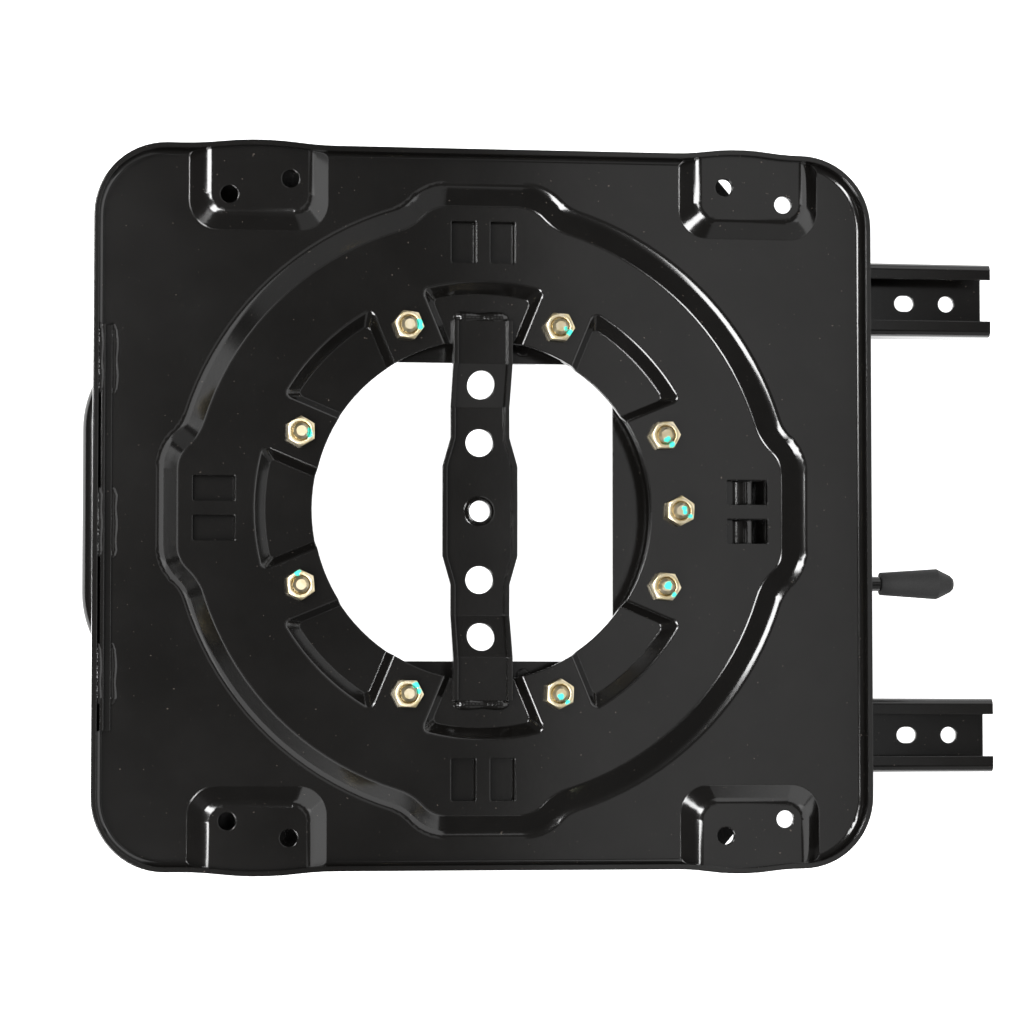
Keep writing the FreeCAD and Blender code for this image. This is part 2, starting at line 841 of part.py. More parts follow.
def notch_points(half, reach, z):
    """The outline of the step at the middle of a petal's outer edge."""
    x0 = swivel_x + bolt_circle_r
    x1 = swivel_x + reach
    return [Vector(x0, -half, z), Vector(x1, -half, z), Vector(x1, half, z), Vector(x0, half, z)]


def sloped_edges_beyond(shape, r):
    """The edges that run from the foot of a petal to its crest, farther out than a radius."""
    return edges_where(shape, lambda e, p: e.BoundBox.ZLength > 1 and math.hypot(p.x - swivel_x, p.y) > r)


def petal_tool(lower):
    """What one petal takes out of the ring floor, with the step at the middle of its outer edge."""
    drop = plate_sheet if lower else 0.0
    side = slope_growth(petal_depth, petal_side_slope) if lower else 0.0
    end = slope_growth(petal_depth, petal_end_slope) if lower else 0.0
    notch_side = slope_growth(petal_depth, notch_side_slope) if lower else 0.0
    notch_end = slope_growth(petal_depth, notch_slope) if lower else 0.0
    z0 = petal_top - drop
    z1 = ring_top - drop
    offset = island_half_width - side
    reach = petal_outer_r + end
    wedge = flat_sided(petal_points(offset + petal_side_slope, z0), petal_points(offset, z1))
    end_cone = Part.makeCone(reach - petal_end_slope, reach, petal_depth, Vector(swivel_x, 0, z0))
    petal = wedge.common(turned(end_cone, 180.0, swivel_x))
    half = notch_half_width + notch_side
    reach = notch_outer_r + notch_end
    foot = notch_points(half - notch_side_slope, reach - notch_slope, z0)
    notch = flat_sided(foot, notch_points(half, reach, z1))
    if not lower:
        petal = petal.makeFillet(petal_corner_r, sloped_edges_beyond(petal, bolt_circle_r))
        notch = notch.makeFillet(notch_corner_r, sloped_edges_beyond(notch, bolt_circle_r + half))
    return petal.fuse(notch).removeSplitter()


def pad_tool(side, start, stop, shrink, drop):
    """One raised pad: sloped on three sides, running out past the rim on the fourth."""
    inner = pad_inner_y + shrink
    outer = plate_half_width + 3 * pad_slope
    s = pad_slope
    foot = rounded_wire(swivel_x + start + shrink, swivel_x + stop - shrink, inner, outer, pad_corner_r,
                        plate_top - drop)
    crest = rounded_wire(swivel_x + start + shrink + s, swivel_x + stop - shrink - s, inner + s, outer - s,
                         pad_crest_corner_r, pad_top - drop)
    pad = Part.makeLoft([foot, crest], True, True)
    pad = pad.makeFillet(pad_crest_bend, edges_where(pad, flat_edge_at(pad_top - drop)))
    return pad if side > 0 else mirrored_y(pad)


def pads(shrink, drop):
    spans = ((pad_left_from, pad_left_to), (pad_right_from, pad_right_to))
    return [pad_tool(side, start, stop, shrink, drop) for side in (-1, 1) for start, stop in spans]


def slope_growth(depth, slope):
    """How much wider the lower face of a sloped wall is, for an even sheet."""
    return plate_sheet * math.tan(math.atan2(depth, slope) / 2)


def raised_pads(lower):
    """The four pads, kept inside the rim."""
    drop = plate_sheet if lower else 0.0
    shrink = slope_growth(pad_height, pad_slope) if lower else 0.0
    inside = plate_prism(plate_sheet, plate_top - drop - 1, pad_top + 1)
    return [pad.common(inside) for pad in pads(shrink, drop)]


def level_edges_within(shape, z, r):
    """The edges at one level that lie within a radius of the swivel axis."""
    at_level = flat_edge_at(z)
    return edges_where(shape, lambda e, p: at_level(e, p) and math.hypot(p.x - swivel_x, p.y) < r)


def pressing(lower):
    """Everything under one face of the sheet: the upper face, or the lower one."""
    drop = plate_sheet if lower else 0.0
    body = plate_prism(0, press_floor, plate_top - drop).cut(recess_tool(lower))
    lip = level_edges_within(body, plate_top - drop, lobe_foot_reach + recess_slope + plate_sheet)
    body = recess_bend(body, lip, recess_crest_bend - drop, lower)
    petal = petal_tool(lower)
    body = body.cut([turned(petal, angle, swivel_x) for angle in petal_angles])
    if not lower:
        body = body.makeFillet(petal_crest_bend, level_edges_within(body, ring_top, latch_slot_inner_r))
    return body.multiFuse(raised_pads(lower))


def make_rim():
    """The turned-up rim, rounded at its foot inside and out, with the strip of plate beside it."""
    foot = plate_top - plate_sheet
    outer = plate_prism(0, foot, rim_top)
    outer = outer.makeFillet(rim_bend, edges_where(outer, flat_edge_at(foot)))
    inner = plate_prism(plate_sheet, plate_top, rim_top + 1)
    inner = inner.makeFillet(rim_bend - plate_sheet, edges_where(inner, flat_edge_at(plate_top)))
    middle = plate_prism(rim_bend, foot - 1, rim_top + 1)
    return outer.cut([inner, middle] + raised_pads(True))


def seat_hole_places():
    places = []
    patterns = ((seat_outer_spacing_x, seat_outer_spacing_y), (seat_inner_spacing_x, seat_inner_spacing_y))
    for spacing_x, spacing_y in patterns:
        for sx in (-1, 1):
            for sy in (-1, 1):
                places.append((swivel_x + seat_offset + sx * spacing_x / 2, sy * spacing_y / 2))
    return places


def latch_slots():
    """A pair of slots on each of the four sides of the ring floor."""
    cuts = []
    x0 = swivel_x + latch_slot_inner_r
    for offset in (-latch_slot_offset, latch_slot_offset):
        slot = rounded_block(x0, x0 + latch_slot_length, offset - latch_slot_width / 2,
                             offset + latch_slot_width / 2, petal_top, plate_top, latch_slot_corner_r)
        cuts.extend(turned(slot, angle, swivel_x) for angle in latch_slot_angles)
    return cuts


def make_upper_plate():
    """The pressed sheet: what lies under its upper face, less what lies under its lower face."""
    sheet = pressing(False).cut([pressing(True)])
    edge = plate_prism(0, press_floor, rim_top).cut(plate_prism(rim_bend, press_floor - 1, rim_top + 1))
    sheet = sheet.cut(edge.cut(raised_pads(False)))
    sheet = sheet.fuse(make_rim()).removeSplitter()
    cuts = [upright(swivel_x, 0, press_floor, rim_top, central_hole_r)]
    cuts += [upright(*polar(bolt_circle_r, a), press_floor, rim_top, bolt_hole_r) for a in nut_angles]
    cuts += [upright(x, y, press_floor, rim_top, seat_hole_r) for x, y in seat_hole_places()]
    return sheet.cut(cuts + latch_slots())


def make_rim_strip():
    """An angle strip inside the left rim: a standing leg, and a flange on the plate."""
    x0 = swivel_x - plate_half_length + plate_sheet + strip_gap
    y0 = strip_shift - strip_half_length
    y1 = strip_shift + strip_half_length
    leg = box(x0, x0 + strip_leg, y0, y1, plate_top, plate_top + strip_height)
    flange = box(x0, x0 + strip_flange + strip_leg, y0, y1, plate_top, plate_top + strip_leg)
    strip = leg.fuse(flange).removeSplitter()
    at_foot = flat_edge_at(plate_top)
    fold = edges_where(strip, lambda e, p: at_foot(e, p) and abs(p.x - x0) < 0.01)
    return strip.makeFillet(strip_bend, fold)


# Cable bar


def bar_plan(inset, z0, z1):
    """The bar seen from above: parallel ends and a wider middle."""
    w = bar_half_width - inset
    m = bar_wide_half_width - inset
    l = bar_half_length
    right = [(w, -l), (w, -bar_taper_y), (m, -bar_wide_y), (m, bar_wide_y), (w, bar_taper_y), (w, l)]
    points = [(swivel_x + x, y) for x, y in right] + [(swivel_x - x, y) for x, y in reversed(right)]
    return plan_prism(points, z0, z1)


def bar_strip(height):
    """The cranked side profile of the bar, at a height over its underside."""
    z1 = petal_top
    z0 = petal_top - bar_drop
    way = [(-bar_half_length, z1), (-bar_drop_to_y, z1), (-bar_drop_from_y, z0),
           (bar_drop_from_y, z0), (bar_drop_to_y, z1), (bar_half_length, z1)]
    points = way + [(y, z + height) for y, z in reversed(way)]
    half = bar_wide_half_width + 1
    face = Part.Face(polygon([Vector(swivel_x - half, y, z) for y, z in points]))
    return face.extrude(Vector(2 * half, 0, 0))


def make_crossbar():
    low = petal_top - bar_drop - 1
    high = petal_top + bar_lip_height + 1
    tray = bar_strip(bar_sheet).common(bar_plan(0, low, high))
    lips = bar_strip(bar_lip_height).common(bar_plan(0, low, high))
    lips = lips.cut(bar_plan(bar_sheet, low - 1, high + 1))
    bar = tray.fuse(lips).removeSplitter()
    floor = petal_top - bar_drop + bar_sheet
    collar = Part.makeCone(bar_collar_r, bar_collar_r - bar_collar_height, bar_collar_height,
                           Vector(swivel_x, 0, floor))
    bar = bar.fuse(collar).removeSplitter()
    cuts = [upright(swivel_x, 0, low, high, bar_centre_hole_r)]
    for y in (bar_hole_inner_y, bar_hole_outer_y):
        cuts += [upright(swivel_x, side * y, low, high, bar_hole_r) for side in (-1, 1)]
    return bar.cut(cuts)


# Swivel latch


def latch_tab_root_x():
    """Where the tabs begin to turn up out of the plate."""
    return swivel_x + latch_slot_inner_r + latch_edge_gap + latch_tab_root


def latch_tab(y):
    """A tab lanced out of the latch plate and bent up into its slot."""
    root = latch_tab_root_x()
    centre_z = latch_top + latch_tab_bend

    def on_arc(r, turn):
        return Vector(root + r * math.sin(turn), y, centre_z - r * math.cos(turn))

    inner = [on_arc(latch_tab_bend, latch_tab_turn * k) for k in (0.0, 0.5, 1.0)]
    outer = [on_arc(latch_tab_bend + latch_sheet, latch_tab_turn * k) for k in (0.0, 0.5, 1.0)]
    face = Part.Face(Part.Wire([
        Part.Arc(*inner).toShape(),
        Part.LineSegment(inner[2], outer[2]).toShape(),
        Part.Arc(*reversed(outer)).toShape(),
        Part.LineSegment(outer[0], inner[0]).toShape(),
    ]))
    half = latch_slot_width / 2 - latch_tab_clearance
    return moved(face, dy=-half).extrude(Vector(0, 2 * half, 0))


def latch_window(y):
    """The opening that a tab leaves in the plate, a little wider and longer than the tab."""
    root = latch_tab_root_x()
    half = latch_slot_width / 2 - latch_tab_clearance + latch_tab_relief
    end = root + (latch_tab_bend + latch_sheet) * math.sin(latch_tab_turn) + latch_window_length
    return box(root, end, y - half, y + half, latch_z - 1, latch_top + 1)


def latch_ear(y0, y1, r):
    """An upright ear of the latch around its pin."""
    x = swivel_x + latch_pivot_x
    stem = box(x - r, x + r, y0, y1, latch_z, latch_pivot_z)
    return stem.fuse(crosswise(x, latch_pivot_z, y0, y1, r)).removeSplitter()


def make_latch_plate():
    """A flat plate with two tabs under the slots, an ear at each side and a wing that carries the lever."""
    inner = swivel_x + latch_slot_inner_r + latch_edge_gap
    wing_from = swivel_x + base_right
    wing_to = wing_from + lever_wing
    plate = box(inner, wing_to, -latch_half_width, latch_half_width, latch_z, latch_top)
    plate = plate.cut([latch_window(offset) for offset in (-latch_slot_offset, latch_slot_offset)])
    pieces = [latch_tab(offset) for offset in (-latch_slot_offset, latch_slot_offset)]
    for side in (-1, 1):
        outer = side * latch_half_width
        pieces.append(latch_ear(outer, outer - side * bracket_sheet, latch_ear_r))
    pieces.append(box(wing_from, wing_to, lever_y - lever_rod_r - 2, 0, latch_z, latch_top))
    body = plate.multiFuse(pieces).removeSplitter()
    pin_x = swivel_x + latch_pivot_x
    bore = crosswise(pin_x, latch_pivot_z, -latch_half_width - 1, latch_half_width + 1,
                     latch_pin_r + latch_pin_clearance)
    return body.cut(bore)


def bracket_span():
    x = swivel_x + latch_pivot_x
    return x - bracket_length / 2, x + bracket_length / 2


def bracket_foot_end():
    """How far the foot of the bracket reaches to each side, past its rivet."""
    return latch_half_width + latch_ear_gap + bracket_sheet + 2 * (rivet_head_r + rivet_land)


def bracket_rivet_places():
    y = bracket_foot_end() - rivet_head_r - rivet_land
    return [(swivel_x + latch_pivot_x, side * y) for side in (-1, 1)]


def make_latch_bracket():
    """A folded bracket: a foot on the base plate with an ear outside each ear of the latch."""
    x0, x1 = bracket_span()
    inner = latch_half_width + latch_ear_gap
    outer = inner + bracket_sheet
    foot_end = bracket_foot_end()
    foot = box(x0, x1, -foot_end, foot_end, base_top, base_top + bracket_sheet)
    pieces = [foot]
    for side in (-1, 1):
        ear_x = swivel_x + latch_pivot_x
        y0 = side * inner
        y1 = side * outer
        pieces.append(box(ear_x - latch_ear_r, ear_x + latch_ear_r, y0, y1, base_top, latch_pivot_z))
        pieces.append(crosswise(ear_x, latch_pivot_z, y0, y1, latch_ear_r))
    body = pieces[0].multiFuse(pieces[1:]).removeSplitter()
    cuts = [crosswise(swivel_x + latch_pivot_x, latch_pivot_z, -outer - 1, outer + 1,
                      latch_pin_r + latch_pin_clearance)]
    high = base_top + bracket_sheet + 1
    cuts += [upright(x, y, base_top - 1, high, rivet_r) for x, y in bracket_rivet_places()]
    return body.cut(cuts)


def make_bracket_rivets():
    return [rivet(x, y, base_z, base_top + bracket_sheet) for x, y in bracket_rivet_places()]


def make_latch_pin():
    reach = latch_half_width + latch_ear_gap + bracket_sheet
    x = swivel_x + latch_pivot_x
    end = reach + pin_head_gap + pin_head
    pieces = [crosswise(x, latch_pivot_z, -end, end, latch_pin_r)]
    pieces += [crosswise(x, latch_pivot_z, side * (reach + pin_head_gap), side * end, latch_pin_r + pin_head)
               for side in (-1, 1)]
    return fuse(pieces)


def make_lever_rod():
    start = swivel_x + base_right
    end = swivel_x + grip_start_x + grip_rod_depth
    z = latch_top + lever_rod_r
    return lengthwise(lever_y, z, start, end, lever_rod_r)


def make_lever_grip():
    """A round moulded grip that swells towards its end, then closes in a short cone."""
    z = latch_top + lever_rod_r
    x0 = swivel_x + grip_start_x
    x1 = x0 + grip_length - grip_cone_length
    x2 = x0 + grip_length
    tip = x2 - grip_tip_chamfer
    points = [(x0, 0), (x0, grip_start_r), (x1, grip_max_r), (tip, grip_end_r),
              (x2, grip_end_r - grip_tip_chamfer), (x2, 0)]
    face = Part.Face(polygon([Vector(x, lever_y, z + r) for x, r in points]))
    body = face.revolve(Vector(x0, lever_y, z), Vector(1, 0, 0), 360)
    return body.cut(lengthwise(lever_y, z, x0 - 1, x0 + grip_rod_depth, lever_rod_r))


def coil(r, wire, height, turns):
    """A spring of square wire in short straight steps, standing on Z = 0 and starting on the X axis."""
    steps = turns * coil_steps
    rise = (height - wire) / steps
    turn = math.radians(360.0 / coil_steps)
    half = wire / 2
    way = [Vector(r * math.cos(i * turn), r * math.sin(i * turn), half + i * rise) for i in range(steps + 1)]
    corners = ((-half, -half), (half, -half), (half, half), (-half, half))
    section = polygon([way[0] + Vector(x, 0, z) for x, z in corners])
    return Part.Wire(Part.makePolygon(way)).makePipeShell([section], True, True, 1)


def make_latch_spring():
    """A short coil that stands on the base plate and lifts the arm of the latch."""
    height = latch_z - base_top
    spring = coil(latch_spring_r, latch_spring_wire, height, latch_spring_turns)
    return moved(spring, swivel_x + latch_spring_x, 0, base_top)


# Slide release


def release_corner():
    """The round bend of the rod at +Y."""
    x = swivel_x + release_nose_x + release_bend
    circle = Part.makeCircle(release_rod_r, Vector(x, release_arm_y, release_z), Vector(1, 0, 0))
    hub = Vector(x, release_arm_y - release_bend, release_z)
    return Part.Face(Part.Wire([circle])).revolve(hub, Vector(0, 0, 1), 90)


def make_release_bar():
    """The bent rod with an eye at each end."""
    x_end = swivel_x + release_pivot_x
    x_nose = swivel_x + release_nose_x
    straight = release_arm_y - release_bend
    corner = release_corner()
    pieces = [corner, mirrored_y(corner), crosswise(x_nose, release_z, -straight, straight, release_rod_r)]
    cuts = []
    for side in (-1, 1):
        y0 = side * (release_arm_y - release_rod_r)
        y1 = side * (release_arm_y + release_rod_r)
        arm_y = side * release_arm_y
        pieces.append(lengthwise(arm_y, release_z, x_nose + release_bend, x_end, release_rod_r))
        pieces.append(crosswise(x_end, release_z, y0, y1, release_eye_r))
        cuts.append(crosswise(x_end, release_z, y0 - side, y1 + side, release_pin_r + release_pin_clearance))
    return fuse(pieces).cut(cuts)


def tooth_centre_y():
    """The teeth sit just inboard of the middle of the notches."""
    lip_edge = rail_y - rail_width / 2 + rail_lip
    return lip_edge - lock_notch_depth / 2 - lock_tooth_offset


def make_lock_comb(side):
    """A plate on one arm of the bar, with teeth turned down over the inner lip of the rail."""
    z0 = release_z + release_rod_r
    z1 = z0 + comb_sheet
    middle = swivel_x + lock_x
    half = (lock_teeth - 1) / 2 * lock_pitch + lock_tooth_width / 2 + lock_comb_margin
    outer = side * (tooth_centre_y() + lock_tooth_thickness / 2)
    inner = side * (release_arm_y - release_rod_r)
    plate = box(middle - half, middle + half, inner, outer, z0, z1)
    pieces = [plate]
    for i in range(lock_teeth):
        x = middle + (i - (lock_teeth - 1) / 2) * lock_pitch
        pieces.append(box(x - lock_tooth_width / 2, x + lock_tooth_width / 2, outer,
                          outer - side * lock_tooth_thickness, rail_height + tooth_rest_gap, z1))
    return fuse(pieces)


def release_spring_length():
    """The length of the winding along the pin."""
    return release_spring_turns * release_spring_pitch + release_spring_wire


def release_ear_y():
    """Where the ear of the bracket faces the eye, with the spring between them."""
    return release_arm_y - release_rod_r - release_spring_length() - 2 * slide_clearance


def release_rivet_places():
    y = release_ear_y() + rivet_head_r
    return [(swivel_x + release_pivot_x + release_rivet_x, side * y) for side in (-1, 1)]


def make_release_bracket(side):
    """An angle bracket under the base plate: a riveted foot and an ear beside the eye of the bar."""
    x = swivel_x + release_pivot_x
    y1 = release_ear_y()
    y0 = y1 - release_ear_sheet
    foot_end = x + release_rivet_x + rivet_head_r + 2
    foot_y = y1 + 2 * rivet_head_r
    foot_z = base_z - release_ear_sheet
    foot = box(x - release_eye_r, foot_end, side * y0, side * foot_y, foot_z, base_z)
    relief = box(x - release_eye_r - 1, x + release_eye_r + release_relief, side * y1, side * (foot_y + 1),
                 foot_z - 1, base_z + 1)
    ear = box(x - release_eye_r, x + release_eye_r, side * y0, side * y1, release_z, base_z)
    tip = crosswise(x, release_z, side * y0, side * y1, release_eye_r)
    body = foot.cut(relief).multiFuse([ear, tip]).removeSplitter()
    cuts = [crosswise(x, release_z, side * (y0 - 1), side * (y1 + 1), release_pin_r + release_pin_clearance)]
    cuts += [upright(rx, ry, foot_z - 1, base_z + 1, rivet_r) for rx, ry in release_rivet_places()]
    return body.cut(cuts)


def make_release_pins():
    """Pins staked flush in the ears, with a head outside each eye."""
    x = swivel_x + release_pivot_x
    start = release_ear_y() - release_ear_sheet
    head = release_arm_y + release_rod_r + pin_head_gap
    end = head + release_pin_head
    pins = []
    for side in (-1, 1):
        shank = crosswise(x, release_z, side * start, side * end, release_pin_r)
        cap = crosswise(x, release_z, side * head, side * end, release_pin_r + pin_head)
        pins.append(fuse([shank, cap]))
    return pins


def make_release_spring(side):
    """A torsion spring on the pin: one leg under the bracket foot, one hooked over the arm."""
    wire = release_spring_wire
    low = release_spring_r - wire / 2
    high = release_spring_r + wire / 2
    length = release_spring_length()
    front = -release_spring_front_leg
    winding = coil(release_spring_r, wire, length, release_spring_turns)
    winding.rotate(Vector(0, 0, 0), Vector(0, 0, 1), 90)
    winding.rotate(Vector(0, 0, 0), Vector(1, 0, 0), 90)
    back_leg = box(-wire / 4, release_spring_back_leg, -wire, 0, low, high)
    front_leg = box(front, wire / 4, -length, wire - length, low, high)
    hook_low = release_rod_r + release_hook_gap
    hook = box(front, front + wire, -length - release_rod_r, wire - length, hook_low, hook_low + wire)
    spring = winding.multiFuse([back_leg, front_leg, hook]).removeSplitter()
    spring = moved(spring, swivel_x + release_pivot_x, -release_ear_y() - slide_clearance, release_z)
    return spring if side < 0 else mirrored_y(spring)


def make_release_rivets():
    return [flush_rivet(x, y, base_z - release_ear_sheet, base_top) for x, y in release_rivet_places()]


def main():
    for side, name in ((-1, "left"), (1, "right")):
        save(name + "_lower_rail", [make_lower_rail(side)])
        save(name + "_upper_rail", [make_upper_rail(side)])
        save(name + "_lock_comb", [make_lock_comb(side)])
        save(name + "_release_bracket", [make_release_bracket(side)])
    save("glide_shoes", make_glide_shoes())
    save("rail_bolts", make_rail_bolts())
    save("rail_nuts", make_rail_nuts())
    save("base_plate", [make_base_plate()])
    save("race_ring", [make_race_ring()])
    save("race_rivets", make_race_rivets())
    save("lower_glide_ring", [make_glide_ring(race_z - glide_thickness)])
    save("upper_glide_ring", [make_glide_ring(race_top)])
    save("clamp_ring", [make_clamp_ring()])
    save("ring_bolts", make_ring_bolts())
    save("ring_nuts", make_ring_nuts())
    save("spacer_sleeves", make_spacer_sleeves())
    save("upper_plate", [make_upper_plate()])
    save("rim_strip", [make_rim_strip()])
    save("crossbar", [make_crossbar()])
    save("latch_plate", [make_latch_plate()])
    save("latch_bracket", [make_latch_bracket()])
    save("bracket_rivets", make_bracket_rivets())
    save("latch_pin", [make_latch_pin()])
    save("latch_spring", [make_latch_spring()])
    save("lever_rod", [make_lever_rod()])
    save("lever_grip", [make_lever_grip()])
    save("release_bar", [make_release_bar()])
    save("release_pins", make_release_pins())
    save("release_rivets", make_release_rivets())
    save("release_springs", [make_release_spring(side) for side in (-1, 1)])


main()
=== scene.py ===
import json
import math

import bmesh
import bpy
from mathutils import Matrix, Vector


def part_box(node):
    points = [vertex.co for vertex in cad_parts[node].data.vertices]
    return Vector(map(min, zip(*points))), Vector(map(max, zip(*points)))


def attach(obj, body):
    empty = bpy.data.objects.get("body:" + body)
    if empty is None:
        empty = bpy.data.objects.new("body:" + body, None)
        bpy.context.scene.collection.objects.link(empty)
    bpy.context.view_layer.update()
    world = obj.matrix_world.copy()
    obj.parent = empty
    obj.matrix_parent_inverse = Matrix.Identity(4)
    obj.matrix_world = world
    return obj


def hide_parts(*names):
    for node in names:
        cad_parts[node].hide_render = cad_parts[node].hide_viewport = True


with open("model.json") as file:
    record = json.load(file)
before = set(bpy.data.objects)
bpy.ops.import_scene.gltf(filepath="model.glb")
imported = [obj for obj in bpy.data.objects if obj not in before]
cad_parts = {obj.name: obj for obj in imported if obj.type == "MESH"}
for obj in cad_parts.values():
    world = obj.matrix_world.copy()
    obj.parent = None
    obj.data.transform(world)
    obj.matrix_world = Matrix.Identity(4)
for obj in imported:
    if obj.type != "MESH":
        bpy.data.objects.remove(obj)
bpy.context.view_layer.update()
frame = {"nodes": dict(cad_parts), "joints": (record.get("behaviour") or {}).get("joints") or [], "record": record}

nodes = frame["nodes"]
MM = 0.001


def box_mm(node):
    """The low and the high corner of a CAD node's box, in millimetres."""
    return [[round(value / MM, 2) for value in corner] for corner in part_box(node)]


# Places on the base, in millimetres

swivel = next(joint for joint in frame["joints"] if joint["name"] == "swivel")
nuts_low, nuts_high = box_mm("ring_nuts")
bolts_low, bolts_high = box_mm("ring_bolts")
_, bar_high = box_mm("crossbar")
strip_low, strip_high = box_mm("rim_strip")

SWIVEL_X = swivel["pos_m"][0] / MM
RING_TOP = nuts_low[2]
BAR_END = bar_high[1]
PLATE_TOP = strip_low[2]
STRIP_TOP = strip_high[2]

# M8 nuts and bolts of the ring, in millimetres

BOLT_HEAD_R = 7.0
BOLT_HEAD_HEIGHT = 2.6
BOLT_SOCKET_FLATS = 5.0
BOLT_SOCKET_DEPTH = 1.8
BOLT_CIRCLE = round(bolts_high[0] - SWIVEL_X - BOLT_HEAD_R, 2)
BOLT_TURN = 40.0

THREAD_R = 3.95
THREAD_ROOT_R = 3.3
THREAD_PITCH = 1.25
THREAD_SHOWN_FROM = 57.0
TIP_CHAMFER = 1.4
TIP_R = 2.7

NUT_HEIGHT = nuts_high[2] - nuts_low[2]
NUT_FLATS = 13.0
NUT_FACE_R = NUT_FLATS / 2 - 0.35
NUT_CORNER_R = NUT_FLATS / math.sqrt(3)
NUT_CORNER_TRIM = 0.8
NUT_BORE_R = 4.1
NUT_FOOT_MOUTH_R = 5.0
NUT_TOP_MOUTH_R = 5.1
NUT_EDGE_R = 0.14

# Each ring nut by its angle round the ring: its own turn in degrees, and the daubs of paint across it, as
# right, up and radius from the nut's centre in millimetres

RING_NUTS = {
    22.5: (32, [(0.2, -2.3, 1.5), (2.8, -4.6, 1.6)]),
    67.5: (86, [(2.2, -1.0, 1.1), (4.6, -2.8, 1.6)]),
    112.5: (82, [(5.0, 1.2, 1.7), (5.2, -1.0, 1.6)]),
    157.5: (60, [(3.8, 0.4, 1.3), (4.0, -1.8, 1.5)]),
    202.5: (65, [(-1.8, 5.6, 1.5), (-0.9, 6.2, 1.0)]),
    247.5: (88, [(3.3, 4.2, 1.7), (4.8, 1.4, 1.4)]),
    292.5: (57, [(-0.2, -1.4, 1.5), (3.4, -3.8, 1.2)]),
    337.5: (85, [(0.4, 0.4, 2.0), (3.8, -4.0, 1.3)]),
    0.0: (57, [(1.3, 0.9, 1.4), (1.4, -0.8, 1.2), (4.6, -2.8, 1.3)]),
}
DAUB_HEIGHT = RING_TOP + NUT_HEIGHT + 1.0
DAUB_SQUASH = 0.3

# Bends and edges of the cable bar, in millimetres

BAR_BEND = 4.0
BAR_EDGE_R = 0.6

# Weld beads, in millimetres

WELD_DROP_STEP = 2.0
WELD_SWELL = 0.10
WELD_END_SHRINK = 0.75
WELD_VOXEL = 0.3
BAR_WELD = {"width": 5.6, "height": 2.4}
BAR_WELD_Y = BAR_END + 1.6
BAR_WELD_Z = 47.6
BAR_WELD_SPAN = (-12.0, 11.5)
STRIP_GAP_WELD = {"width": 5.4, "height": 2.2}
STRIP_GAP_X = strip_low[0] - 0.9
STRIP_GAP_Z = STRIP_TOP - 1.2
STRIP_FOOT_WELD = {"width": 6.4, "height": 1.5}
STRIP_FOOT_X = strip_high[0] + 0.2
STRIP_WELD_SPANS = ((55.0, 86.0), (-23.0, 7.0), (-93.0, -67.0))


def on_ring(angle):
    """The x and y of a bolt at an angle round the swivel axis."""
    a = math.radians(angle)
    return SWIVEL_X + BOLT_CIRCLE * math.cos(a), BOLT_CIRCLE * math.sin(a)


# Colour and node helpers


def linear(code):
    """An sRGB hex colour as linear RGBA."""
    channels = [int(code[i:i + 2], 16) / 255 for i in (1, 3, 5)]
    return [c / 12.92 if c <= 0.04045 else ((c + 0.055) / 1.055) ** 2.4 for c in channels] + [1.0]


def wire(tree, node, inputs):
    """Sets a node's inputs, each to a value, another node's output, or a node for its first one in use."""
    sockets = {socket.identifier: socket for socket in node.inputs}
    for key, value in inputs.items():
        socket = node.inputs[key] if isinstance(key, int) else sockets[key]
        if isinstance(value, bpy.types.Node):
            value = next(output for output in value.outputs if output.enabled)
        if isinstance(value, bpy.types.NodeSocket):
            tree.links.new(value, socket)
        else:
            socket.default_value = value


def add(tree, kind, inputs, **settings):
    """Adds a node with its settings and its inputs."""
    node = tree.nodes.new(kind)
    for name, value in settings.items():
        setattr(node, name, value)
    wire(tree, node, inputs)
    return node


def blank(name):
    """A new material: itself, its tree, its Principled shader and the object coordinates."""
    material = bpy.data.materials.new(name)
    material.use_nodes = True
    tree = material.node_tree
    place = add(tree, "ShaderNodeTexCoord", {}).outputs["Object"]
    return material, tree, tree.nodes["Principled BSDF"], place


def per_metre(size_mm):
    """The texture scale at which one cell of a pattern is this wide."""
    return 1.0 / (size_mm * MM)


# Materials


